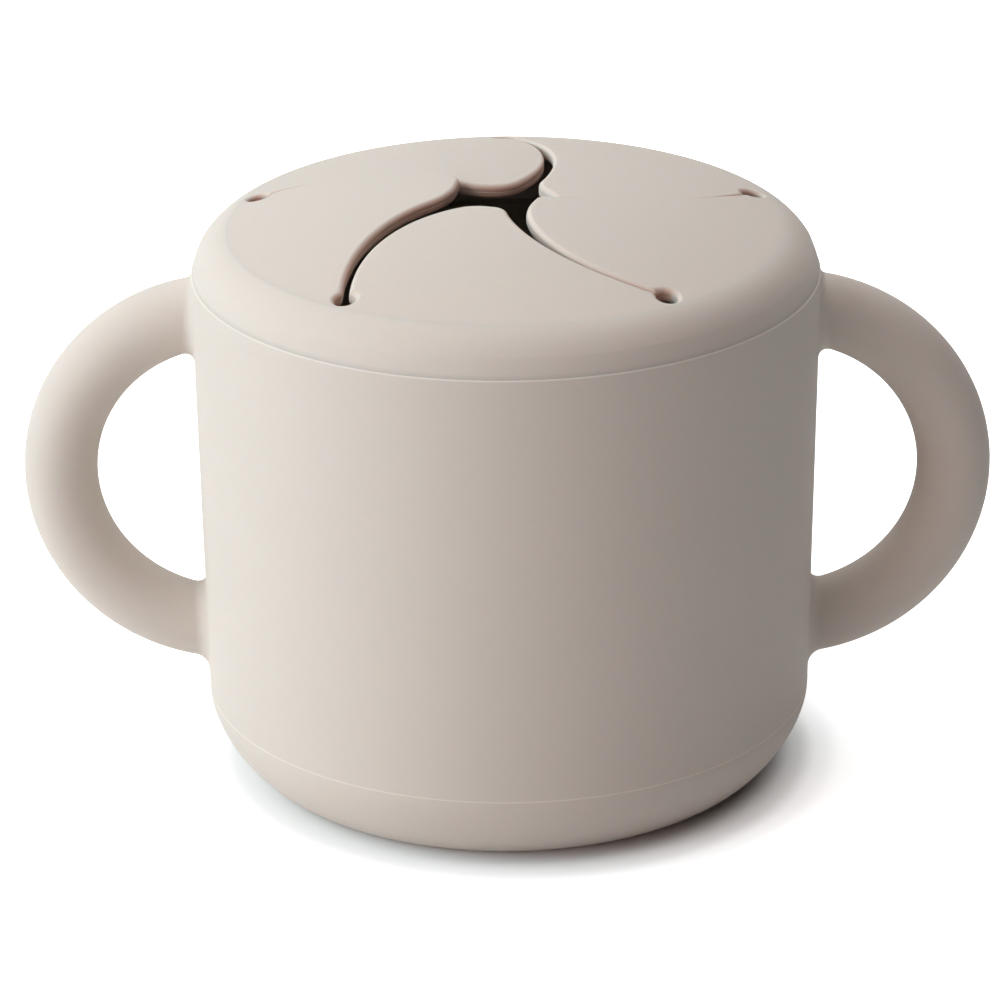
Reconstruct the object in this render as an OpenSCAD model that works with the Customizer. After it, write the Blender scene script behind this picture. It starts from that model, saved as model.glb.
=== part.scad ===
// Toddler snack container: a soft silicone cup with two ring handles and a press-on lid.
// The lid is cut by five curved slits into flaps that a small hand pushes in and that spring back.
// Millimetres. The origin is the centre of the base, +Z is up and +X runs through the handles.

/* [Cup] */
// Outside diameter of the cup where the lid meets it
cup_d = 90; // [80:1:110]
// Height of the seam between cup and lid
seam_z = 75; // [68:1:95]
// How much smaller the outside radius is at the base than at the seam
draft = 1.1; // [0:0.1:2.5]
// Thickness of the side wall
wall = 3; // [2:0.1:3.6]
// Thickness of the floor
floor_t = 3.2; // [2.4:0.1:5]
// Width of the rounding between wall and base
corner_w = 7.9; // [5:0.1:12]
// Height of the rounding between wall and base
corner_h = 10.6; // [7:0.1:12]
// Fullness of that rounding: 2 is an ellipse, less is nearer a bevel
corner_power = 1.5; // [1.4:0.1:2.2]
// Width of the flat ring that the cup stands on
foot_w = 9; // [5:0.5:14]
// Depth of the hollow inside that ring
foot_recess = 0.8; // [0.4:0.1:1.4]

/* [Handles] */
// Radius from the centre of a ring handle to the middle of its tube
ring_r = 24.4; // [19:0.2:25]
// Radius of the handle's tube
grip_r = 5.3; // [4:0.1:6]
// How far the ring's centre lies inside the outer wall
ring_inset = 4.2; // [0:0.2:8]
// Distance from the highest point of the ring up to the seam
ring_drop = 1.2; // [0.6:0.1:6]
// Width of the flare where a handle grows out of the wall
root_flare = 1.2; // [0.5:0.1:2]

/* [Rim] */
// Height of the rim that stands up inside the lid
rim_h = 3.2; // [2.4:0.1:3.4]
// Thickness of the rim
rim_t = 1.9; // [1.4:0.1:2.4]
// Width of the ledge between the rim and the outside, which the lid's skirt sits on
ledge_w = 2.6; // [2.2:0.1:3]

/* [Lid] */
// Radius of the dome on top of the lid
dome_r = 150; // [120:5:240]
// Height of the dome's middle above the seam
lid_rise = 11.4; // [10.6:0.1:14]
// Radius of the rounding between the dome and the side
shoulder_r = 7.6; // [6.6:0.1:9]
// Thickness of the dome and of the flaps
dome_t = 2; // [1.4:0.1:2.4]
// Thickness of the inner wall that plugs into the rim
plug_t = 1.3; // [1:0.1:2]
// How far the inner wall reaches below the seam
plug_depth = 4; // [2:0.2:8]
// Clearance between the rim and the lid
rim_gap = 0.15; // [0.05:0.05:0.3]

/* [Flaps] */
// Diameter of the round hole at the outer end of each slit
hole_d = 3; // [2:0.1:4]
// Space left between those holes and the inner wall
hole_land = 0.1; // [0.05:0.05:2]
// Width of the slits
slit_w = 1.25; // [0.8:0.05:2]
// How many degrees a slit turns for each millimetre towards the middle
slit_rate = 1.1; // [0.4:0.1:1.3]
// Distance from the middle of the lid to the tip of a flap
tip_r = 5; // [4:0.1:7]
// How far the tip leans away from the middle of its flap, in degrees
tip_lean = 5; // [-10:1:10]
// Length of the rounding on the long side of a tip
tip_long = 7.5; // [4:0.1:9]
// Length of the rounding on the short side of a tip
tip_short = 4; // [3:0.1:9]
// Clearance around the root that a flap bends about
root_gap = 0.1; // [0.06:0.01:0.3]

/* [Hidden] */
$fn = 128;
slack = 1;
silicone = [0.80, 0.76, 0.71];
lid_silicone = [0.83, 0.79, 0.74];

// Outside of the cup and lid
seam_r = cup_d / 2;
dome_cz = seam_z + lid_rise - dome_r;
shoulder_x = seam_r - shoulder_r;
shoulder_z = dome_cz + sqrt(pow(dome_r - shoulder_r, 2) - pow(shoulder_x, 2));
dome_edge = dome_r * shoulder_x / (dome_r - shoulder_r);

// Rim, ledge and the lid's inner wall
rim_out = seam_r - ledge_w;
rim_in = rim_out - rim_t;
rim_top = seam_z + rim_h;
plug_out = rim_in - rim_gap;
plug_in = plug_out - plug_t;
plug_z = seam_z - plug_depth;
neck_z = plug_z - slack;
neck_slope = 3;

// Handle rings
ring_z = seam_z - ring_drop - grip_r - ring_r;
ring_x = wall_x(ring_z) - ring_inset;
flare_sink = 0.3;
flare_len = slack + root_flare + flare_sink;

// Slits and flaps
flap_n = 5;
flap_turn = 360 / flap_n;
front_turn = -90;
hole_ring = plug_in - hole_land - hole_d / 2;
hinge_x = hole_ring * cos(flap_turn / 2);
hinge_half = hole_ring * sin(flap_turn / 2) - hole_d / 2;
hinge_high = dome_z(hinge_x);
hinge_low = dome_z(hole_ring) - dome_t;
hinge_z = (hinge_high + hinge_low) / 2;
hinge_spare = 0.6;
hinge_r = (hinge_high - hinge_low) / 2 + hinge_spare;

// Outside radius of the straight wall at height z
function wall_x(z) = seam_r - draft * (1 - z / shoulder_z);

// Height of the dome at radius r
function dome_z(r) = dome_cz + sqrt(dome_r * dome_r - r * r);

// Points of a rounded corner from the floor up to the wall at x, as a quarter of a superellipse
function corner(x, z, w, h) = [
    for (a = [0 : 7.5 : 90])
        [x - w + w * pow(sin(a), 2 / corner_power), z + h - h * pow(cos(a), 2 / corner_power)]
];

// Angle that a slit has turned through at radius r
function turned(r) = slit_rate * (hole_ring - r);

// Half the slit's width at radius r, as an angle
function half_slit(r) = asin(slit_w / 2 / r);

// A rounding that grows from 0 at distance len from the tip to 1 at the tip
function ease(r, len) = 1 - sqrt(1 - pow(max(0, 1 - (r - tip_r) / len), 2));

// The two sides of a flap at radius r, as angles from the flap's own middle direction
tip_half = flap_turn / 2 - half_slit(tip_r);
function long_side(r) =
    -turned(r) - flap_turn / 2 + half_slit(r) + (tip_half + tip_lean) * ease(r, tip_long);
function short_side(r) =
    -turned(r) + flap_turn / 2 - half_slit(r) - (tip_half - tip_lean) * ease(r, tip_short);
side_steps = 22;
function side_r(i) = tip_r + (hole_ring - tip_r) * pow(i / side_steps, 2);
function polar(r, a) = r * [cos(a), sin(a)];

// The root runs from just beside one slit hole to where the next flap comes within its reach;
// the small corner left between there and the other hole stays part of the lid
root_reach = hinge_r + 3 * root_gap;
root_start = root_gap - hinge_half;
root_end = min([
    for (r = [tip_r : 0.25 : hole_ring])
        let (p = polar(r, flap_turn + long_side(r)))
            if (hinge_x - p[0] < root_reach) p[1]
]) - root_gap;
root_overlap = 0.5;

// The groove for the root runs on into the slit hole, where a corner of the flap swings
groove_start = root_start - root_gap - hole_d / 4;
groove_end = root_end + root_gap;

// Outline of the closed container from its axis outwards
module silhouette() {
    polygon(concat(
        [[0, 0]],
        corner(wall_x(corner_h), 0, corner_w, corner_h),
        [[seam_r, shoulder_z], [0, shoulder_z]]
    ));
    translate([0, shoulder_z - slack])
        square([dome_edge, dome_z(dome_edge) - shoulder_z + slack]);
    translate([shoulder_x, shoulder_z])
        circle(shoulder_r);
    intersection() {
        translate([0, dome_cz])
            circle(dome_r, $fn = 720);
        translate([0, shoulder_z])
            square([dome_edge, dome_r]);
    }
}

// The rim: a standing wall with a fully rounded top, made larger all round by grow
module rim_shape(grow) {
    translate([rim_in - grow, neck_z])
        square([rim_t + 2 * grow, rim_top - rim_t / 2 - neck_z]);
    translate([rim_in + rim_t / 2, rim_top - rim_t / 2])
        circle(rim_t / 2 + grow);
}

// The hollow inside the cup, drawn in at the top to the rim's inner face
module hollow_shape() {
    polygon(concat(
        [[0, floor_t]],
        corner(wall_x(corner_h) - wall, floor_t, corner_w, corner_h),
        [
            [wall_x(neck_z) - wall, neck_z - neck_slope],
            [rim_in, neck_z],
            [rim_in, seam_z + slack],
            [0, seam_z + slack]
        ]
    ));
}

module cup_outside() {
    rotate_extrude()
        intersection() {
            silhouette();
            square([cup_d, seam_z]);
        }
}

module cup() {
    color(silicone)
        rotate_extrude()
            difference() {
                union() {
                    intersection() {
                        silhouette();
                        square([cup_d, seam_z]);
                    }
                    intersection() {
                        rim_shape(0);
                        translate([0, seam_z - slack])
                            square([cup_d, rim_h + 2 * slack]);
                    }
                }
                hollow_shape();
                square([wall_x(corner_h) - corner_w - foot_w, foot_recess]);
            }
}

// Flare round the tube where it meets the wall, on an axis that points away from the wall
module root_flare() {
    translate([0, 0, -slack])
        cylinder(r1 = grip_r + root_flare + slack, r2 = grip_r - flare_sink, h = flare_len);
}

// One handle: half a ring with a flare at its upper and its lower root
module handle_ring() {
    translate([ring_x, 0, ring_z])
        rotate([90, 0, 0])
            rotate([0, 0, -90])
                rotate_extrude(angle = 180)
                    translate([ring_r, 0])
                        circle(grip_r);
    for (up = [-1, 1]) {
        root_x = wall_x(ring_z + up * ring_r);
        root_a = acos((root_x - ring_x) / ring_r);
        translate([root_x, 0, ring_z + up * ring_r * sin(root_a)])
            rotate([0, 90 + up * (90 - root_a), 0])
                root_flare();
    }
}

module handle_right() {
    color(silicone)
        difference() {
            handle_ring();
            cup_outside();
        }
}

module handle_left() {
    mirror([1, 0, 0])
        handle_right();
}

// Wall of the lid: dome, rounded shoulder, skirt and the inner wall that plugs into the rim
module lid_shape() {
    difference() {
        intersection() {
            silhouette();
            translate([hinge_x - hole_d, plug_z])
                square([cup_d, cup_d]);
        }
        translate([plug_out, plug_z - slack])
            square([cup_d, plug_depth + slack]);
        rim_shape(rim_gap);
        intersection() {
            translate([0, dome_cz])
                circle(dome_r - dome_t, $fn = 720);
            square([plug_in, 2 * cup_d]);
        }
    }
}

module slit_holes() {
    for (i = [0 : flap_n - 1])
        rotate([0, 0, (i + 0.5) * flap_turn])
            translate([hole_ring, 0, plug_z])
                cylinder(d = hole_d, h = cup_d);
}

// Cylinder of radius r about the line that a flap bends on, for a flap that points along +X
module hinge_line(r, from, to) {
    translate([hinge_x, to, hinge_z])
        rotate([90, 0, 0])
            cylinder(r = r, h = to - from);
}

// Outline of a flap between its two slits, pointing along +X, with its root past the bending line
module flap_outline() {
    polygon(concat(
        [for (i = [side_steps : -1 : 0]) polar(side_r(i), long_side(side_r(i)))],
        [for (i = [1 : side_steps]) polar(side_r(i), short_side(side_r(i)))],
        [for (y = [hinge_half, root_start]) [hinge_x + hinge_r + slack, y]]
    ));
}

// What the lid keeps of that outline: the corner beside the slit hole
module fixed_corner() {
    intersection() {
        flap_outline();
        translate([0, root_end + root_gap])
            square([hole_ring, hole_ring]);
    }
}

// The lid without its flaps: five slit holes, the window that the flaps fill, and their grooves
module lid() {
    color(lid_silicone)
        difference() {
            rotate_extrude()
                lid_shape();
            rotate([0, 0, front_turn])
                union() {
                    slit_holes();
                    linear_extrude(height = 2 * cup_d)
                        difference() {
                            polygon([for (a = [0.5 : flap_n]) polar(hole_ring, a * flap_turn)]);
                            for (i = [0 : flap_n - 1])
                                rotate(i * flap_turn)
                                    fixed_corner();
                        }
                    for (i = [0 : flap_n - 1])
                        rotate([0, 0, i * flap_turn])
                            hinge_line(hinge_r + root_gap, groove_start, groove_end);
                }
        }
}

// One flap: a piece of the dome with a rounded root that turns in the lid
module flap(i) {
    color(lid_silicone)
        rotate([0, 0, front_turn + i * flap_turn])
            difference() {
                intersection() {
                    difference() {
                        translate([0, 0, dome_cz])
                            sphere(dome_r, $fn = 720);
                        translate([0, 0, dome_cz])
                            sphere(dome_r - dome_t, $fn = 720);
                    }
                    translate([0, 0, plug_z])
                        linear_extrude(height = cup_d)
                            flap_outline();
                    union() {
                        translate([0, -hole_ring, plug_z])
                            cube([hinge_x + root_overlap, hole_ring + root_end, cup_d]);
                        hinge_line(hinge_r, root_start - slack, root_end);
                    }
                }
                slit_holes();
            }
}

cup();
handle_left();
handle_right();
lid();
flap(0);  // flap_front
flap(1);  // flap_right
flap(2);  // flap_back_right
flap(3);  // flap_back_left
flap(4);  // flap_left
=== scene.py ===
import math

import bmesh
import bpy
import numpy as np
from mathutils import Matrix, Vector


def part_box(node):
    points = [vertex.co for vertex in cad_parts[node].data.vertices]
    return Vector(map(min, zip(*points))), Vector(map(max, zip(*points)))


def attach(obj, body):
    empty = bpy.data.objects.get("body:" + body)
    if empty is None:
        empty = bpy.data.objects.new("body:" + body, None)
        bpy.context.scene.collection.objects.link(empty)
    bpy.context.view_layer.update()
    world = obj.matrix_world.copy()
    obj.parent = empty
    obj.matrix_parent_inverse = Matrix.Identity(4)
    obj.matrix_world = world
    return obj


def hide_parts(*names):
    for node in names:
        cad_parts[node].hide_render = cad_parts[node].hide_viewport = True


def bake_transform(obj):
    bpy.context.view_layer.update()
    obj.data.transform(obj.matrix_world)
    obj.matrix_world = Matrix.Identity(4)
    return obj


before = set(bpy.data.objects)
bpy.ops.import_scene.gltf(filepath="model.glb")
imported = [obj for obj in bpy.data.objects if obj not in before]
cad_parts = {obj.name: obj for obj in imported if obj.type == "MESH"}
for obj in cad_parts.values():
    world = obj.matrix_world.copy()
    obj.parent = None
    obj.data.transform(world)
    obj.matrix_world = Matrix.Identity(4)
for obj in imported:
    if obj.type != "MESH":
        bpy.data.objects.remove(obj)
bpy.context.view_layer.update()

# The cup: one moulding of soft silicone about 3 mm thick, standing on a flat ring round a shallow hollow.
# It is moulded in two halves that meet low down, where a fine raised line runs round the wall, and its
# top is drawn in to a standing rim with a fully round edge, which the lid is pressed over.
mm = 0.001
seam_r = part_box("cup")[1].y / mm
rim_h = 3.2
rim_t = 1.9
ledge_w = 2.6
rim_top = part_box("cup")[1].z / mm
seam_z = rim_top - rim_h
dome_r = 150.0
dome_rise = 11.4
dome_cz = seam_z + dome_rise - dome_r
shoulder_r = 7.6
shoulder_x = seam_r - shoulder_r
shoulder_z = dome_cz + math.sqrt((dome_r - shoulder_r) ** 2 - shoulder_x ** 2)
draft = 1.1
wall = 3.0
floor_t = 3.2
corner_w = 7.9
corner_h = 10.6
corner_power = 1.5
foot_w = 9.0
foot_recess = 0.8
foot_round = 0.4
ledge_round = 0.3
line_z = 11.4
line_w = 0.16
line_up = 0.025
turns = 320


def wall_x(z):
    """Radius of the outer wall at height z: it narrows evenly from the shoulder down."""
    return seam_r - draft * (1 - z / shoulder_z)


def arc(r, z, radius, start, end, steps):
    """Points of an arc round (r, z), from one angle to another, in degrees from straight outwards."""
    a = np.radians(np.linspace(start, end, steps + 1))
    return np.column_stack([r + radius * np.cos(a), z + radius * np.sin(a)])


def soft_corner(r, z, w, h, steps=40):
    """A quarter of a superellipse w wide and h high that ends on the wall at r and on the floor at z."""
    a = np.linspace(0, math.pi / 2, steps + 1)
    power = 2 / corner_power
    return np.column_stack([r - w + w * np.sin(a) ** power, z + h - h * np.cos(a) ** power])


def build(name, points, blocks, facing=None, marks=None):
    """A smoothly shaded mesh object from points in millimetres and blocks of faces, each an array of rows
    of indices. It may be given the directions that its points face, for its shading, and marks, which are
    named values of its points that stay with the mesh as attributes."""
    mesh = bpy.data.meshes.new(name)
    mesh.vertices.add(len(points))
    mesh.vertices.foreach_set("co", (points * mm).astype(np.float32).ravel())
    corners = np.concatenate([block.ravel() for block in blocks])
    sizes = np.concatenate([np.full(len(block), block.shape[1]) for block in blocks])
    mesh.loops.add(len(corners))
    mesh.loops.foreach_set("vertex_index", corners.astype(np.int32))
    mesh.polygons.add(len(sizes))
    mesh.polygons.foreach_set("loop_start", np.concatenate([[0], np.cumsum(sizes)[:-1]]).astype(np.int32))
    mesh.update(calc_edges=True)
    if facing is not None:
        given = mesh.attributes.new("facing", "FLOAT_VECTOR", "POINT")
        given.data.foreach_set("vector", facing.astype(np.float32).ravel())
    for label, values in (marks or {}).items():
        mark = mesh.attributes.new(label, "FLOAT", "POINT")
        mark.data.foreach_set("value", values.astype(np.float32).ravel())
    welded = bmesh.new()
    welded.from_mesh(mesh)
    bmesh.ops.remove_doubles(welded, verts=welded.verts, dist=1e-7)
    bmesh.ops.dissolve_degenerate(welded, edges=welded.edges, dist=1e-8)
    welded.to_mesh(mesh)
    welded.free()
    mesh.shade_smooth()
    if facing is None:
        mesh.set_sharp_from_angle(angle=math.radians(40))
    else:
        given = mesh.attributes["facing"]
        directions = np.empty(3 * len(mesh.vertices), np.float32)
        given.data.foreach_get("vector", directions)
        directions = directions.reshape(-1, 3)
        mesh.normals_split_custom_set_from_vertices(directions / np.linalg.norm(directions, axis=1)[:, None])
        mesh.attributes.remove(given)
    piece = bpy.data.objects.new(name, mesh)
    bpy.context.scene.collection.objects.link(piece)
    return piece


def grid_faces(rows, columns, closed_rows=False, closed_columns=False):
    """Index rows of the four-cornered faces of a grid of points stored row by row."""
    i = np.arange(rows if closed_rows else rows - 1)[:, None]
    j = np.arange(columns if closed_columns else columns - 1)[None, :]
    i_next, j_next = (i + 1) % rows, (j + 1) % columns
    corner = [i * columns + j, i_next * columns + j, i_next * columns + j_next, i * columns + j_next]
    return np.stack([c + 0 * (i + j) for c in corner], axis=-1).reshape(-1, 4)


def revolve(name, profile):
    """Turns a profile of (radius, height) points round the Z axis, with copy i of it at 2 pi i / turns.
    A profile that begins and ends on the axis is closed there by fans, and any other is a closed loop."""
    a = 2 * math.pi * np.arange(turns)[:, None] / turns
    r, z = profile.T
    points = np.stack([np.cos(a) * r, np.sin(a) * r, 0 * a + z], axis=-1).reshape(-1, 3)
    loop = profile[0, 0] > 0
    faces = grid_faces(turns, len(profile), closed_rows=True, closed_columns=loop)
    return build(name, points, [faces])


foot_in = wall_x(corner_h) - corner_w - foot_w
foot_step = foot_in - foot_round / 2
rim_out = seam_r - ledge_w
rim_in = rim_out - rim_t
neck_drop = 5.0
neck_slope = 3.0
neck_fade = 3.0
neck_turn = 35
neck_round = 1.5
neck_hollow = 4.0
neck_z = seam_z - neck_drop
neck_foot = neck_z - neck_slope - neck_fade
edge = 0.22
shoulder_end = math.degrees(math.asin((seam_z - shoulder_z) / shoulder_r))
top_r = shoulder_x + shoulder_r * math.cos(math.radians(shoulder_end))
across_line = np.linspace(-3, 3, 13)
at_line = line_z + across_line * line_w
cup_profile = np.concatenate([
    [[0, foot_recess], [foot_step - foot_round, foot_recess]],
    arc(foot_step - foot_round, foot_recess - foot_round, foot_round, 90, 0, 6),
    arc(foot_step + foot_round, foot_round, foot_round, 180, 270, 6),
    soft_corner(wall_x(corner_h), 0, corner_w, corner_h),
    np.column_stack([wall_x(at_line) + line_up * np.exp(-across_line ** 2), at_line]),
    [[wall_x(z), z] for z in np.linspace(line_z + 1, shoulder_z, 40)],
    arc(shoulder_x, shoulder_z, shoulder_r, 0, shoulder_end - 1.6, 6)[1:],
    arc(top_r - edge, seam_z - edge, edge, 5, 90, 8),
    arc(rim_out + ledge_round, seam_z + ledge_round, ledge_round, 270, 180, 5),
    arc(rim_in + rim_t / 2, rim_top - rim_t / 2, rim_t / 2, 0, 180, 24),
    arc(rim_in - neck_round, neck_z + 1, neck_round, 0, -neck_turn, 6),
    arc(wall_x(neck_foot) - wall - neck_hollow, neck_foot, neck_hollow, neck_turn, 0, 6),
    soft_corner(wall_x(corner_h) - wall, floor_t, corner_w, corner_h)[::-1],
    [[0, floor_t]],
])
cup = revolve("cup_shell", cup_profile)


def node(tree, kind, **settings):
    """A shader node with its named settings, and with its input sockets set where a socket has the name."""
    made = tree.nodes.new(kind)
    for name, value in settings.items():
        socket = made.inputs.get(name.replace("_", " "))
        if socket is not None and not hasattr(made, name):
            socket.default_value = value
        else:
            setattr(made, name, value)
    return made


def effect(name, inputs, outputs):
    """An empty shader node group with float, vector or colour sockets, and its two end nodes."""
    group = bpy.data.node_groups.new(name, "ShaderNodeTree")
    for side, sockets in (("INPUT", inputs), ("OUTPUT", outputs)):
        for label, kind, start in sockets:
            socket = group.interface.new_socket(name=label, in_out=side, socket_type=kind)
            if start is not None:
                socket.default_value = start
    return group, group.nodes.new("NodeGroupInput"), group.nodes.new("NodeGroupOutput")


def pigment_group():
    """Colour of a filled silicone: its tone drifts a little over centimetres, and it is speckled by a
    fine second noise, each noise moving the brightness by its own share. The gain scales it, and lines of
    painted highlight and painted shade come in through it. Painted shade is how much of it takes the change
    to a darker, warmer tone: painted shade on walls that face away from the strongest lamp."""
    group, start, end = effect(
        "pigment",
        [("Vector", "NodeSocketVector", None), ("Tone", "NodeSocketColor", (0.6, 0.55, 0.5, 1)),
         ("Drift", "NodeSocketFloat", 0.04), ("Speckle", "NodeSocketFloat", 0.02),
         ("Gain", "NodeSocketFloat", 1.0), ("Painted shade", "NodeSocketFloat", 0.0)],
        [("Color", "NodeSocketColor", None)])
    slow = node(group, "ShaderNodeTexNoise", Scale=28.0, Detail=2.0, Roughness=0.5)
    fine = node(group, "ShaderNodeTexNoise", Scale=2400.0, Detail=2.0, Roughness=0.6)
    drift = node(group, "ShaderNodeMath", operation="MULTIPLY_ADD")
    drift.inputs[2].default_value = 1.0
    speckle = node(group, "ShaderNodeMath", operation="MULTIPLY_ADD")
    centre = [node(group, "ShaderNodeMath", operation="SUBTRACT") for _ in range(2)]
    scaled = node(group, "ShaderNodeVectorMath", operation="SCALE")
    gained = node(group, "ShaderNodeVectorMath", operation="SCALE")
    # Painted shade: the colour is made darker and warmer by the marked share.
    warmer = node(group, "ShaderNodeVectorMath", operation="MULTIPLY_ADD")
    warmer.inputs[1].default_value = painted_shade_change
    warmer.inputs[2].default_value = (1.0, 1.0, 1.0)
    warmed = node(group, "ShaderNodeVectorMath", operation="MULTIPLY")
    link = group.links.new
    for noise, middle in zip((slow, fine), centre):
        link(start.outputs["Vector"], noise.inputs["Vector"])
        link(noise.outputs["Fac"], middle.inputs[0])
        middle.inputs[1].default_value = 0.5
    link(centre[0].outputs[0], drift.inputs[0])
    link(start.outputs["Drift"], drift.inputs[1])
    link(centre[1].outputs[0], speckle.inputs[0])
    link(start.outputs["Speckle"], speckle.inputs[1])
    link(drift.outputs[0], speckle.inputs[2])
    link(start.outputs["Tone"], scaled.inputs[0])
    link(speckle.outputs[0], scaled.inputs["Scale"])
    link(start.outputs["Painted shade"], warmer.inputs[0])
    link(scaled.outputs[0], warmed.inputs[0])
    link(warmer.outputs[0], warmed.inputs[1])
    link(warmed.outputs[0], gained.inputs[0])
    link(start.outputs["Gain"], gained.inputs["Scale"])
    link(gained.outputs[0], end.inputs["Color"])
    return group


def skin_group():
    """Height of a bead-blasted mould's skin: two sizes of rounded grain added up, the finer one weaker.
    A third noise, much wider, gives how much rougher or smoother the skin is from place to place."""
    group, start, end = effect(
        "skin",
        [("Vector", "NodeSocketVector", None), ("Grain", "NodeSocketFloat", 1600.0),
         ("Roughness", "NodeSocketFloat", 0.6), ("Patches", "NodeSocketFloat", 0.06)],
        [("Height", "NodeSocketFloat", None), ("Roughness", "NodeSocketFloat", None)])
    coarse = node(group, "ShaderNodeTexNoise", Detail=3.0, Roughness=0.55)
    finer = node(group, "ShaderNodeTexNoise", Detail=2.0, Roughness=0.5)
    wide = node(group, "ShaderNodeTexNoise", Scale=60.0, Detail=2.0, Roughness=0.5)
    triple = node(group, "ShaderNodeMath", operation="MULTIPLY")
    triple.inputs[1].default_value = 2.7
    total = node(group, "ShaderNodeMath", operation="MULTIPLY_ADD")
    total.inputs[1].default_value = 0.35
    middle = node(group, "ShaderNodeMath", operation="SUBTRACT")
    middle.inputs[1].default_value = 0.5
    rough = node(group, "ShaderNodeMath", operation="MULTIPLY_ADD")
    link = group.links.new
    for noise in (coarse, finer, wide):
        link(start.outputs["Vector"], noise.inputs["Vector"])
    link(start.outputs["Grain"], coarse.inputs["Scale"])
    link(start.outputs["Grain"], triple.inputs[0])
    link(triple.outputs[0], finer.inputs["Scale"])
    link(finer.outputs["Fac"], total.inputs[0])
    link(coarse.outputs["Fac"], total.inputs[2])
    link(total.outputs[0], end.inputs["Height"])
    link(wide.outputs["Fac"], middle.inputs[0])
    link(middle.outputs[0], rough.inputs[0])
    link(start.outputs["Patches"], rough.inputs[1])
    link(start.outputs["Roughness"], rough.inputs[2])
    link(rough.outputs[0], end.inputs["Roughness"])
    return group


def line_group():
    """Mask of a fine line on the surface: 1 where the value is at the centre, and down to 0 by a smooth
    step where it is one width away from it."""
    group, start, end = effect(
        "painted_light_line",
        [("Value", "NodeSocketFloat", 0.0), ("Centre", "NodeSocketFloat", 0.0),
         ("Width", "NodeSocketFloat", 0.0001)],
        [("Mask", "NodeSocketFloat", None)])
    apart = node(group, "ShaderNodeMath", operation="SUBTRACT")
    away = node(group, "ShaderNodeMath", operation="ABSOLUTE")
    mask = node(group, "ShaderNodeMapRange", interpolation_type="SMOOTHSTEP")
    mask.inputs["To Min"].default_value = 1.0
    mask.inputs["To Max"].default_value = 0.0
    link = group.links.new
    link(start.outputs["Value"], apart.inputs[0])
    link(start.outputs["Centre"], apart.inputs[1])
    link(apart.outputs[0], away.inputs[0])
    link(away.outputs[0], mask.inputs["Value"])
    link(start.outputs["Width"], mask.inputs["From Max"])
    link(mask.outputs["Result"], end.inputs["Mask"])
    return group


# Painted shade: the change to the colour, darker and warmer, on walls that face away from the strongest
# lamp.
painted_shade_change = (-0.03, -0.28, -0.36)
pigment = pigment_group()
skin = skin_group()
painted_light_line = line_group()


def silicone(name, tone, roughness, drift, grain, lines):
    """A matte silicone: pigment for its colour, skin for its roughness and bump, and light that spreads a
    little way inside it. Each line round it, of a height, a width and a gain, is lighter by the gain, or
    darker where the gain is below 0: painted highlights and painted shade. Where the mesh marks a wall in
    the shade, the colour is darker and warmer: painted shade."""
    material = bpy.data.materials.new(name)
    material.use_nodes = True
    tree = material.node_tree
    shader = tree.nodes["Principled BSDF"]
    shader.inputs["IOR"].default_value = 1.41
    shader.inputs["Specular IOR Level"].default_value = 0.25
    shader.inputs["Subsurface Weight"].default_value = 0.25
    shader.inputs["Subsurface Radius"].default_value = (1.0, 0.45, 0.25)
    shader.inputs["Subsurface Scale"].default_value = 1.6 * mm
    place = tree.nodes.new("ShaderNodeTexCoord")
    colour = node(tree, "ShaderNodeGroup", node_tree=pigment)
    colour.inputs["Tone"].default_value = (*tone, 1)
    colour.inputs["Drift"].default_value = drift
    surface = node(tree, "ShaderNodeGroup", node_tree=skin)
    surface.inputs["Grain"].default_value = grain
    surface.inputs["Roughness"].default_value = roughness
    bump = node(tree, "ShaderNodeBump", Strength=0.25, Distance=0.06 * mm)
    painted_shade_wall = node(tree, "ShaderNodeAttribute", attribute_name="painted_shade_wall")
    height = node(tree, "ShaderNodeSeparateXYZ")
    link = tree.links.new
    link(place.outputs["Object"], height.inputs[0])
    total = node(tree, "ShaderNodeValue")
    total.outputs[0].default_value = 1.0
    for line_height, line_width, line_gain in lines:
        mark = node(tree, "ShaderNodeGroup", node_tree=painted_light_line)
        mark.inputs["Centre"].default_value = line_height * mm
        mark.inputs["Width"].default_value = line_width * mm
        gain = node(tree, "ShaderNodeMath", operation="MULTIPLY_ADD")
        gain.inputs[1].default_value = line_gain
        link(height.outputs["Z"], mark.inputs["Value"])
        link(mark.outputs["Mask"], gain.inputs[0])
        link(total.outputs[0], gain.inputs[2])
        total = gain
    link(place.outputs["Object"], colour.inputs["Vector"])
    link(total.outputs[0], colour.inputs["Gain"])
    link(painted_shade_wall.outputs["Fac"], colour.inputs["Painted shade"])
    link(place.outputs["Object"], surface.inputs["Vector"])
    link(colour.outputs["Color"], shader.inputs["Base Color"])
    link(surface.outputs["Roughness"], shader.inputs["Roughness"])
    link(surface.outputs["Height"], bump.inputs["Height"])
    link(bump.outputs["Normal"], shader.inputs["Normal"])
    return material


tone = (0.612, 0.54, 0.486)
# Painted highlights: the cup is painted lighter along its parting line, which also stands as a small ridge,
# and along its edge just under the lid's skirt.
cup_painted_highlights = ((line_z, line_w, 0.22), (seam_z - 0.1, 0.18, 0.22))
cup_silicone = silicone("cup_silicone", tone, 0.74, 0.03, 1500.0, cup_painted_highlights)
cup.data.materials.append(cup_silicone)
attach(cup, "cup")
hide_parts("cup")

# The two ring handles: solid silicone loops moulded in one with the cup, each half a torus that stands in
# the plane through both handles. A small fillet runs round each end where the loop grows out of the wall,
# tighter on top, where the loop passes just under the lid.
ring_r = 24.4
grip_r = 5.3
ring_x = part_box("handle_right")[1].x / mm - ring_r - grip_r
ring_z = 44.1
root_fillet = 1.9
top_fillet = 0.8
root_sink = 1.2
around = 96
along = 96


def ring_point(u, v):
    """A point of the torus at angle u along the ring and v round the tube, as x, y and z."""
    out = ring_r + grip_r * np.cos(v)
    return ring_x + out * np.cos(u), grip_r * np.sin(v), ring_z + out * np.sin(u)


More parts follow.
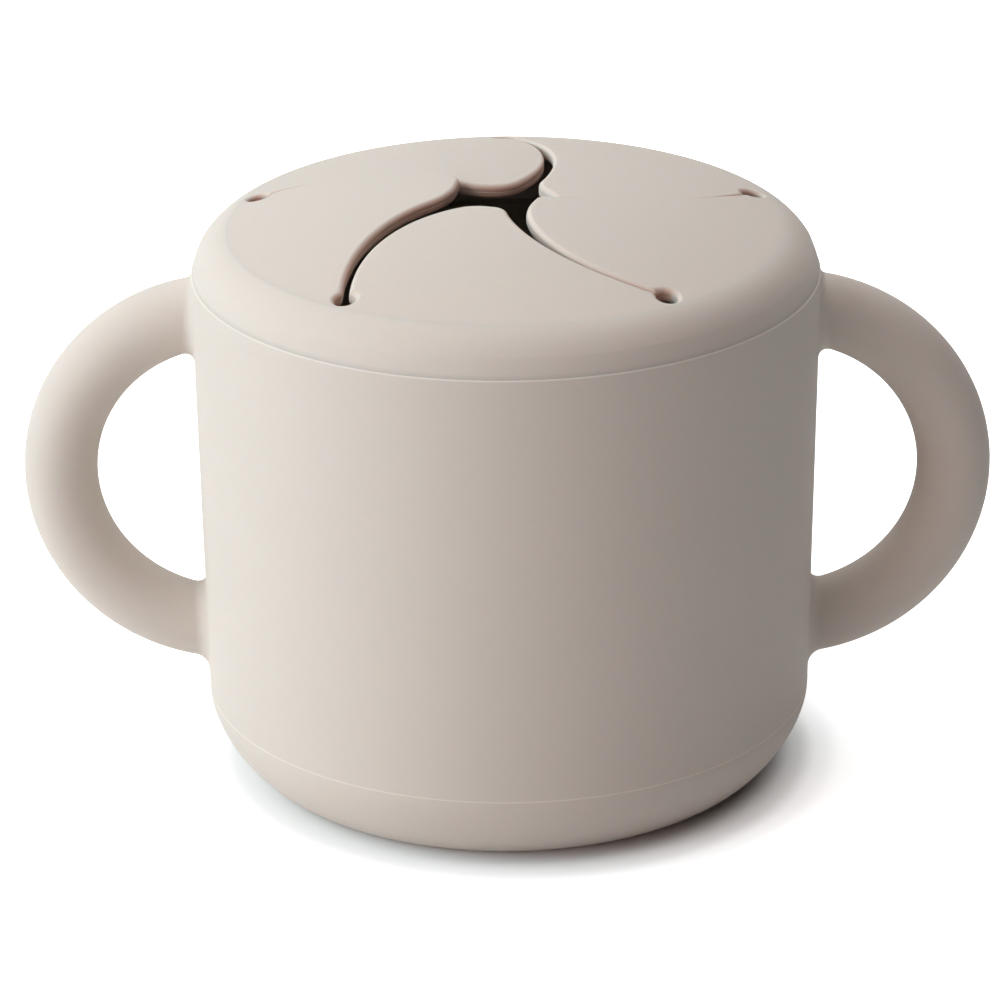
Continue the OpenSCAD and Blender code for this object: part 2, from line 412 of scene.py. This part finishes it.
def root_angle(v, up, fillet):
    """Angle along the ring where the tube's line at v is one fillet off the wall, found by halving."""
    low, high = np.zeros_like(v), np.full_like(v, math.radians(88))
    for _ in range(40):
        middle = (low + high) / 2
        x, y, z = ring_point(up * middle, v)
        outside = np.hypot(x, y) - wall_x(z) > fillet
        low, high = np.where(outside, middle, low), np.where(outside, high, middle)
    return low


def root_rings(v, up, steps=12):
    """Rings of the fillet at one end, from the tube to the wall. Over a quarter turn a point moves one
    fillet towards the wall by the sine and one fillet away from the tube by one less the cosine."""
    fillet = root_fillet - (root_fillet - top_fillet) * ((1 + np.cos(v)) / 2) ** 2 * (up > 0)
    u = root_angle(v, up, fillet)
    x, y, z = ring_point(up * u, v)
    rings = []
    for a in np.radians(np.linspace(0, 88, steps + 1)):
        nearer = fillet * math.sin(a)
        wider = fillet * (1 - math.cos(a))
        side_y = y + np.sin(v) * wider
        height = z + up * nearer / np.tan(u) + np.cos(v) * np.sin(up * u) * wider
        out_x = np.sqrt((wall_x(height) + fillet - nearer) ** 2 - side_y ** 2)
        rings.append(np.column_stack([out_x, side_y, height]))
    sunk = rings[-1] - [root_sink, 0, 0]
    middle = np.repeat([sunk.mean(0)], len(v), axis=0)
    return u, rings, [sunk, middle]


def ring_handle(name, side):
    """A tube whose rings run from inside the wall along the lower fillet, the half torus and the upper
    fillet back into the wall. The other handle is its mirror image, with its rings in reverse."""
    v = 2 * math.pi * np.arange(around) / around
    low_u, low_rings, low_end = root_rings(v, -1)
    high_u, high_rings, high_end = root_rings(v, 1)
    share = np.linspace(0, 1, along + 1)[1:-1]
    middle = [np.column_stack(ring_point(-low_u + (low_u + high_u) * s, v)) for s in share]
    rings = np.array(low_end[::-1] + low_rings[::-1] + middle + high_rings + high_end)
    rings[:, :, 0] *= side
    faces = grid_faces(len(rings), around, closed_columns=True)
    if side > 0:
        faces = faces[:, ::-1]
    return build(name, rings.reshape(-1, 3), [faces])


for label, side in (("left", -1), ("right", 1)):
    handle = ring_handle(label + "_handle", side)
    handle.data.materials.append(cup_silicone)
    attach(handle, "cup")
    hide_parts("handle_" + label)

# The lid's ring: silicone 2 mm thick, with a rounded shoulder and a skirt that sits on the cup's ledge. A
# groove under it takes the cup's round rim between the skirt and an inner wall, which holds it by friction.
# The skirt stands a hair inside the cup's edge, and that edge is painted lighter as a fine light line, a
# painted highlight.
rim_gap = 0.15
dome_t = 2.0
plug_t = 1.3
plug_round = 0.4
plug_clear = 0.1
plug_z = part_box("lid")[0].z / mm
plug_out = rim_in - rim_gap
plug_in = plug_out - plug_t
dome_edge = dome_r * shoulder_x / (dome_r - shoulder_r)
hole_r = 1.5
hole_ring = plug_in - plug_clear - hole_r
lip = 0.8
under_lip = 0.5
flap_n = 5
flap_turn = 2 * math.pi / flap_n
flap_steps = turns // flap_n
skirt_in = 0.14
skirt_edge = 0.04
skirt_lift = 0.01


def lid_z(r):
    """Height of the lid's outside at radius r: the dome's sphere, then the shoulder's quarter circle."""
    on_dome = dome_cz + np.sqrt(dome_r ** 2 - r ** 2)
    reach = np.clip(r - shoulder_x, 0, shoulder_r)
    on_shoulder = shoulder_z + np.sqrt(shoulder_r ** 2 - reach ** 2)
    return np.where(r < dome_edge, on_dome, on_shoulder)


def under_z(r):
    """Height of the underside of the dome at radius r."""
    return dome_cz + np.sqrt((dome_r - dome_t) ** 2 - r ** 2)


band_in = hole_ring + hole_r + lip
band_under = hole_ring + hole_r + under_lip
skirt_r = top_r - skirt_in
shoulder_start = math.degrees(math.acos((band_in - shoulder_x) / shoulder_r))
ring_profile = np.concatenate([
    [[plug_in, plug_z + plug_round]],
    arc(plug_out - plug_round, plug_z + plug_round, plug_round, -90, 0, 5),
    arc(rim_in + rim_t / 2, rim_top - rim_t / 2, rim_t / 2 + rim_gap, 180, 0, 24),
    [[rim_out + rim_gap, seam_z + skirt_lift]],
    [[skirt_r - skirt_edge, seam_z], [skirt_r, seam_z - skirt_lift]],
    arc(shoulder_x - skirt_in, shoulder_z, shoulder_r, shoulder_end + 3, shoulder_end + 12, 6),
    arc(shoulder_x, shoulder_z, shoulder_r, shoulder_end + 22, shoulder_start - 0.5, 60),
    arc(shoulder_x, shoulder_z, shoulder_r, shoulder_start, shoulder_start, 0),
    [[band_under, float(under_z(band_under))], [plug_in, float(under_z(plug_in))]],
])
lid_ring = revolve("lid_ring", ring_profile)
# Painted shade: a band round the lid at the seam is painted darker.
lid_painted_shade = ((seam_z, 0.9, -0.1),)
lid_silicone = silicone("lid_silicone", tone, 0.76, 0.03, 1700.0, lid_painted_shade)
lid_ring.data.materials.append(lid_silicone)
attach(lid_ring, "lid")
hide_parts("lid")

# The five flaps: pieces of the same 2 mm dome between curved slits, each of which starts at a round hole
# that stops it from tearing. They are one with the lid's ring, and bend along the line between two holes.
# All edges are moulded round, with a fine line half way down where the two halves of the mould met.
slit_rate = math.radians(1.1)
front_turn = -math.pi / 2
hinge_x = hole_ring * math.cos(flap_turn / 2)
tip_x = 7.0
sample = 0.05
rounding = 0.25
ridge_up = 0.02
ridge_at = 0.93
ridge_half = 0.08
ridge_turn = 0.6
arc_rows = 36
slit_rows = 60
tip_rows = 34
tip_span = 7.0
lip_narrows = (-2.0, 7.0)
lip_widens = (11.0, 5.0)
spiral_start = 4.0
trimmed = 20
least_fall = 0.02
droop_power = 1.6
shade_from = -0.6
shade_to = -0.1


def slit_side(r, side, gap, spread):
    """Angle of one side of a flap at radius r: a spiral that turns evenly with the radius, set back from
    the slit's middle line by the gap at its hole and by more inside, the spread times the square."""
    back = gap + spread * ((hole_ring - r) / hole_ring) ** 2
    return side * (flap_turn / 2 - np.arcsin(np.clip(back / r, -1, 1))) - slit_rate * (hole_ring - r)


def hole_arc(side, meets):
    """Arc of the hole at one side of the flap, from 0.7 radians before its outermost point to where the
    slit begins."""
    a = side * flap_turn / 2
    outwards = np.array([math.cos(a), math.sin(a)])
    inwards = -side * np.array([-math.sin(a), math.cos(a)])
    to = meets - hole_ring * outwards
    last = math.atan2(to @ inwards, to @ outwards) % (2 * math.pi)
    t = np.linspace(-0.7, last, 120)[:-1, None]
    return hole_ring * outwards + hole_r * (np.cos(t) * outwards + np.sin(t) * inwards)


def flap_edge(sides, cut, face, soft):
    """The flap's edge as one open line: round the first hole, up the long side, over the straight end of
    the tip, down the short side and round the second hole. It is resampled evenly and averaged over a
    length that grows at the tip's two corners, so that each corner is as round as its soft value."""
    r = spiral_start + (hole_ring + 1 - spiral_start) * np.linspace(0, 1, 1500) ** 2
    normal = np.array([math.cos(face), math.sin(face)])
    halves, arcs = [], []
    for side, (gap, spread) in zip((-1, 1), sides):
        a = slit_side(r, side, gap, spread)
        line = np.column_stack([r * np.cos(a), r * np.sin(a)])
        line = line[np.cumsum((line @ normal < cut)[::-1])[::-1] == 0]
        hole = hole_ring * np.array([math.cos(flap_turn / 2), side * math.sin(flap_turn / 2)])
        line = line[np.cumsum(np.hypot(*(line - hole).T) < hole_r) == 0]
        bend = hole_arc(side, line[-1])
        arcs.append(len(bend))
        halves.append(np.concatenate([bend, line[::-1]]))
    path = np.concatenate([halves[0], halves[1][::-1]])
    length = np.concatenate([[0], np.cumsum(np.hypot(*np.diff(path, axis=0).T))])
    holes = length[[arcs[0], -arcs[1] - 1]]
    corners = length[[len(halves[0]) - 1, len(halves[0])]]
    even = np.arange(0, length[-1], sample)
    path = np.column_stack([np.interp(even, length, path[:, k]) for k in (0, 1)])
    width = np.full(len(even), rounding)
    for at, size in zip(corners, soft):
        near = np.clip(1 - (np.abs(even - at) / (3 * size)) ** 2, 0, 1) ** 2
        width = np.maximum(width, rounding + (size - rounding) * near)
    weight = np.exp(-((even[:, None] - even[None, :]) / width[:, None]) ** 2 / 2)
    weight /= weight.sum(1)[:, None]
    marks = np.array([holes[0], corners.mean(), holes[1]]) - trimmed * sample
    return (weight @ path)[trimmed:-trimmed], marks


def step_in(point, step):
    """Steps from the edge to the inner line of its lip, turned a little where that line would run back
    outwards, so that its radius falls by the least fall or more in each row up to the tip."""
    r, a = np.hypot(*(point + step).T), np.arctan2(*(point + step).T[::-1])
    rows = np.arange(len(r))
    falling = np.minimum.accumulate(r + least_fall * rows) - least_fall * rows
    r = np.where(rows < arc_rows + slit_rows, falling, r)
    return np.column_stack([r * np.cos(a), r * np.sin(a)]) - point


def flap_rows(sides, lips, cut, face, soft):
    """Points of the edge on both sides of the flap, row by row from the holes' outermost points to the
    middle of the tip, with the direction into the flap, the size of the rounded lip and the steps to its
    inner line above and below. The lip is narrower along the slit, and changes evenly to and from that
    between two distances past the hole and two before the tip."""
    path, marks = flap_edge(sides, cut, face, soft)
    angle = np.arctan2(path[:, 1], path[:, 0])
    first = np.argmax(angle > -flap_turn / 2)
    last = len(angle) - np.argmax(angle[::-1] < flap_turn / 2) - 1
    path = path[first:last + 1]
    length = np.concatenate([[0], np.cumsum(np.hypot(*np.diff(path, axis=0).T))])
    tangent = np.gradient(path, length, axis=0)
    tangent /= np.hypot(*tangent.T)[:, None]
    near, tip, far = marks - first * sample
    halves = ((-1, tip, near, lips[0]), (1, length[-1] - tip, length[-1] - far, lips[1]))
    out = []
    for side, total, arc_length, slit_lip in halves:
        stops = [0, arc_rows, arc_rows + slit_rows, arc_rows + slit_rows + tip_rows]
        rows = np.arange(stops[-1] + 1)
        along_edge = np.interp(rows, stops, [0, arc_length + 0.5, total - tip_span, total])
        s = along_edge if side < 0 else length[-1] - along_edge
        point = np.column_stack([np.interp(s, length, path[:, k]) for k in (0, 1)])
        along = np.column_stack([np.interp(s, length, tangent[:, k]) for k in (0, 1)])
        inward = np.column_stack([along[:, 1], -along[:, 0]])
        inward /= np.hypot(*inward.T)[:, None]
        a = side * flap_turn / 2
        point[0] = (hole_ring + hole_r) * np.array([math.cos(a), math.sin(a)])
        inward[0] = [math.cos(a), math.sin(a)]
        changes = [arc_length + step for step in lip_narrows] + [total - step for step in lip_widens]
        size = np.interp(along_edge, changes, [lip, slit_lip, slit_lip, lip])[:, None]
        to_lip = step_in(point, np.minimum(size, lip) * inward)
        to_under = step_in(point, np.minimum(size, under_lip) * inward)
        out.append([point, inward, size, to_lip, to_under])
    for k in (0, 1, 3, 4):
        out[1][k][-1] = out[0][k][-1]
    return out


def lip_profile():
    """Cross-section of the edge from the underside to the top. Each point has its inset and its distance
    from the underside or the top, both as a share of the lip's size and in millimetres, then 1 if that is
    the top, and the angle above level that the surface faces. The middle three are the mould's line."""
    a = np.radians(np.linspace(-90, 0, 7))
    b = np.radians(np.linspace(0, 90, 11))
    below = np.column_stack([1 - np.cos(a), 0 * a, 1 + np.sin(a), 0 * a, 0 * a, a])
    above = np.column_stack([1 - np.cos(b), 0 * b, 1 - np.sin(b), 0 * b, 0 * b + 1, b])
    ridge = np.zeros((3, 6))
    ridge[:, 1] = 0, -ridge_up, 0
    ridge[:, 3] = ridge_at - ridge_half, ridge_at, ridge_at + ridge_half
    ridge[:, 5] = 0, ridge_turn, 0
    return np.concatenate([below, ridge, above])


def painted_shade_walls(facing):
    """How far each point belongs to a wall in the shade, where painted shade makes the colour darker and
    warmer: the square of the level part of the direction it faces, times a share that grows evenly along X,
    away from the strongest lamp."""
    facing = facing / np.linalg.norm(facing, axis=-1)[..., None]
    share = np.clip((facing[..., 0] - shade_from) / (shade_to - shade_from), 0, 1)
    return (1 - facing[..., 2] ** 2) * share


def flap_piece(name, turn, sides, lips, cut, face, soft, droop):
    """A closed shell between the edge on both sides. Each row crosses the flap on a line whose radius and
    angle change evenly, at the height of the dome or of its underside, less the droop, which grows by a
    power of the way from the hinge to the tip."""
    low, high = flap_rows(sides, lips, cut, math.radians(face), soft)
    profile = lip_profile()
    share = np.linspace(0, 1, flap_steps + 1)

    def across(step):
        """Points between the lips of the two sides, by radius and angle, and straight across at the tip."""
        first, last = [side[0] + side[step] for side in (low, high)]
        straight = first[:, None] + (last - first)[:, None] * share[:, None]
        r0, r1 = np.hypot(*first.T)[:, None], np.hypot(*last.T)[:, None]
        a0, a1 = np.arctan2(*first.T[::-1])[:, None], np.arctan2(*last.T[::-1])[:, None]
        r, a = r0 + (r1 - r0) * share, a0 + (a1 - a0) * share
        mix = np.clip((np.arange(len(r)) - arc_rows - slit_rows / 2) / slit_rows * 2, 0, 1)[:, None, None]
        return np.stack([r * np.cos(a), r * np.sin(a)], axis=-1) * (1 - mix) + straight * mix

    def side(point, inward, size, to_lip, to_under):
        """Points and directions of the edge's cross-section at each row, from the underside to the top."""
        above = profile[:, 4] > 0
        scale = np.where(above, size, np.minimum(size, under_lip))
        plan = point[:, None, :] + profile[:, 1, None] * inward[:, None, :]
        plan = plan + profile[:, 0, None] * np.where(above[:, None], to_lip[:, None], to_under[:, None])
        r = np.hypot(plan[..., 0], plan[..., 1])
        rise = profile[:, 2] * scale + profile[:, 3]
        height = np.where(above, lid_z(r) - rise, under_z(r) + rise)
        up = profile[:, 5, None]
        slope = np.concatenate([plan / dome_r, np.ones(plan.shape[:2] + (1,))], axis=-1)
        outward = np.concatenate([-inward, 0 * inward[:, :1]], axis=1)[:, None, :]
        directions = outward * np.cos(up) + slope * np.sin(up)
        return np.concatenate([plan, height[..., None], directions], axis=-1)

    def surface(plan, height, up):
        """Points of the top or the underside at their places in plan, and the directions they face."""
        high = height(np.hypot(plan[..., 0], plan[..., 1]))[..., None]
        slope = np.concatenate([plan / dome_r, np.ones(plan.shape[:2] + (1,))], axis=-1)
        return np.concatenate([plan, high, slope * up], axis=-1)

    top = surface(across(3), lid_z, 1)[:, 1:-1]
    bottom = surface(across(4), under_z, -1)[:, 1:-1]
    first, second = side(*low), side(*high)
    rows = np.concatenate([first, top, second[:, ::-1], bottom[:, ::-1]], axis=1)
    rows, facing = rows[..., :3], rows[..., 3:]
    bent = np.clip((hinge_x - rows[..., 0]) / (hinge_x - tip_x), 0, 1.2)
    rows[..., 2] -= droop * bent ** droop_power
    fall = droop * droop_power * bent ** (droop_power - 1) / (hinge_x - tip_x)
    facing[..., 0] -= facing[..., 2] * fall
    turned = np.array(Matrix.Rotation(turn, 3, "Z"))
    rows, facing = rows @ turned.T, facing @ turned.T
    count = rows.shape[1]
    edge_n = first.shape[1]
    far_edge = edge_n + flap_steps - 1
    faces = grid_faces(len(rows), count, closed_columns=True)[:, ::-1]
    top_row = np.arange(edge_n - 1, far_edge + 1)
    bottom_row = np.array([0, *range(count - 1, count - flap_steps, -1), far_edge + edge_n - 1])
    cap = np.column_stack([top_row[1:], top_row[:-1], bottom_row[:-1], bottom_row[1:]])
    left = np.arange(edge_n)[::-1][None, :]
    right = np.arange(far_edge, far_edge + edge_n)[::-1][None, :]
    # Walls that face away from the side lamp are marked for painted shade, a darker and warmer colour.
    marks = {"painted_shade_wall": painted_shade_walls(facing)}
    return build(name, rows.reshape(-1, 3), [faces, cap, left, right], facing.reshape(-1, 3), marks)


# Each flap's values in millimetres: the gap and spread and the lip of its first and second side, how far
# out the tip is cut and which way it faces in degrees, the softness of its two corners, and its droop. No
# two real flaps settle alike. They go round from the front to the right.
flap_shapes = {
    "front": dict(sides=((0.55, 2.6), (0.04, 0.0)), lips=(0.8, 0.7), cut=5.4, face=-18,
                  soft=(1.5, 1.1), droop=0.3),
    "right": dict(sides=((0.04, 3.7), (0.03, 0.0)), lips=(0.8, 0.15), cut=4.9, face=-2,
                  soft=(1.8, 1.0), droop=0.0),
    "back_right": dict(sides=((0.03, 0.0), (0.05, 1.8)), lips=(0.15, 0.6), cut=5.6, face=-25,
                       soft=(0.6, 1.5), droop=0.2),
    "back_left": dict(sides=((0.05, 4.2), (0.03, 0.0)), lips=(0.5, 0.15), cut=5.6, face=-14,
                      soft=(1.8, 3.4), droop=1.2),
    "left": dict(sides=((0.03, 0.0), (0.55, 2.0)), lips=(0.15, 0.8), cut=7.3, face=-27,
                 soft=(1.0, 2.6), droop=0.0),
}
for place, (label, shape) in enumerate(flap_shapes.items()):
    turn = front_turn + place * flap_turn
    flap = flap_piece(label + "_flap", turn, **shape)
    flap.data.materials.append(lid_silicone)
    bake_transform(flap)
    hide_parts("flap_" + label)

# The floor: a wide sheet of white card, which is all that the camera sees round the object. For the camera
# it glows from just inside the foot's outline outwards, growing over 30 mm, so that it reads as white and
# holds the soft shadow close round the foot.
glow_centre = Vector((1.1, -1.9, 0))
glow_from = 36.0
glow_to = 66.0
floor_half = 3000.0


def seen_rays(tree):
    """Socket that is 1 on the rays of the camera, of mirrors and of glass, and 0 on those that light."""
    rays = node(tree, "ShaderNodeLightPath")
    mirrored = node(tree, "ShaderNodeMath", operation="MAXIMUM")
    seen = node(tree, "ShaderNodeMath", operation="MAXIMUM")
    tree.links.new(rays.outputs["Is Glossy Ray"], mirrored.inputs[0])
    tree.links.new(rays.outputs["Is Transmission Ray"], mirrored.inputs[1])
    tree.links.new(mirrored.outputs[0], seen.inputs[0])
    tree.links.new(rays.outputs["Is Camera Ray"], seen.inputs[1])
    return seen.outputs[0]


card = bpy.data.materials.new("white_card")
card.use_nodes = True
tree = card.node_tree
shader = tree.nodes["Principled BSDF"]
shader.inputs["Base Color"].default_value = (0.86, 0.86, 0.86, 1)
shader.inputs["Roughness"].default_value = 0.9
shader.inputs["Specular IOR Level"].default_value = 0.0
place = node(tree, "ShaderNodeTexCoord")
from_foot = node(tree, "ShaderNodeVectorMath", operation="DISTANCE")
from_foot.inputs[1].default_value = glow_centre * mm
spread = node(tree, "ShaderNodeMapRange")
spread.inputs["From Min"].default_value = glow_from * mm
spread.inputs["From Max"].default_value = glow_to * mm
fade = node(tree, "ShaderNodeValToRGB")
fade.color_ramp.interpolation = "EASE"
for at, grey in ((0.18, 0.25), (0.3, 0.5), (0.42, 0.66), (0.6, 0.76)):
    fade.color_ramp.elements.new(at).color = (grey, grey, grey, 1)
glow = node(tree, "ShaderNodeEmission")
lit = node(tree, "ShaderNodeMixShader")
both = node(tree, "ShaderNodeAddShader")
link = tree.links.new
link(place.outputs["Object"], from_foot.inputs[0])
link(from_foot.outputs["Value"], spread.inputs["Value"])
link(spread.outputs["Result"], fade.inputs["Fac"])
link(fade.outputs["Color"], glow.inputs["Strength"])
link(shader.outputs[0], both.inputs[0])
link(glow.outputs[0], both.inputs[1])
link(seen_rays(tree), lit.inputs[0])
link(shader.outputs[0], lit.inputs[1])
link(both.outputs[0], lit.inputs[2])
link(lit.outputs[0], tree.nodes["Material Output"].inputs["Surface"])
floor_mesh = bpy.data.meshes.new("floor")
floor_corners = np.array([[-1, -1, 0], [1, -1, 0], [1, 1, 0], [-1, 1, 0]]) * floor_half * mm
floor_mesh.from_pydata(floor_corners.tolist(), [], [(0, 1, 2, 3)])
floor = bpy.data.objects.new("floor", floor_mesh)
floor.data.materials.append(card)
bpy.context.scene.collection.objects.link(floor)

# The light: large soft lamps round the object in a room that is dark but for them, and that the camera
# and reflections see as white. The strongest, a little cool, stands on the left, and the others fill in.
world = bpy.data.worlds.new("room")
bpy.context.scene.world = world
world.use_nodes = True
room = world.node_tree.nodes["Background"]
room.inputs["Color"].default_value = (1, 1, 1, 1)
world.node_tree.links.new(seen_rays(world.node_tree), room.inputs["Strength"])
middle = Vector((0, 0, 40))
lamp_size = 1000.0
lamp_away = 1200.0


def soft_lamp(name, azimuth, elevation, power, colour):
    """A square lamp at an azimuth and elevation in degrees from the middle of the object, and facing it.
    Azimuth 0 is in front and 90 is on the right."""
    a, e = math.radians(azimuth), math.radians(elevation)
    back = Vector((math.sin(a) * math.cos(e), -math.cos(a) * math.cos(e), math.sin(e)))
    lamp = bpy.data.lights.new(name, "AREA")
    lamp.size = lamp_size * mm
    lamp.energy = power
    lamp.color = colour
    made = bpy.data.objects.new(name, lamp)
    made.location = (middle + back * lamp_away) * mm
    made.rotation_mode = "QUATERNION"
    made.rotation_quaternion = back.to_track_quat("Z", "Y")
    bpy.context.scene.collection.objects.link(made)


soft_lamp("side_lamp", -75, 25, 13.6, (0.77, 0.95, 1))
soft_lamp("low_lamp", -45, 5, 6.6, (1, 0.75, 0.7))
soft_lamp("top_lamp", 0, 88, 7.6, (1, 0.93, 0.92))
soft_lamp("back_lamp", 180, 50, 6.0, (0.88, 0.99, 1))

# The camera: a long lens about 0.7 m away, 23 degrees above the table, in front of the cup with a handle
# on each side, turned a fraction of a degree as in the photograph.
camera = bpy.data.cameras.new("camera")
camera.sensor_width = 36.0
camera.lens = 177.2
camera.clip_start, camera.clip_end = 0.05, 20
camera.shift_x, camera.shift_y = -0.0075, -0.0084
eye = bpy.data.objects.new("camera", camera)
tilt, away, roll = 0.398, 716.4, -0.0077
back = Vector((0, -math.cos(tilt), math.sin(tilt)))
eye.rotation_mode = "QUATERNION"
turned = Matrix.Rotation(roll, 3, "Z").to_quaternion()
eye.rotation_quaternion = (-back).to_track_quat("-Z", "Y") @ turned
eye.location = (middle + back * away) * mm
bpy.context.scene.collection.objects.link(eye)
bpy.context.scene.camera = eye
bpy.context.scene.view_settings.view_transform = "Standard"
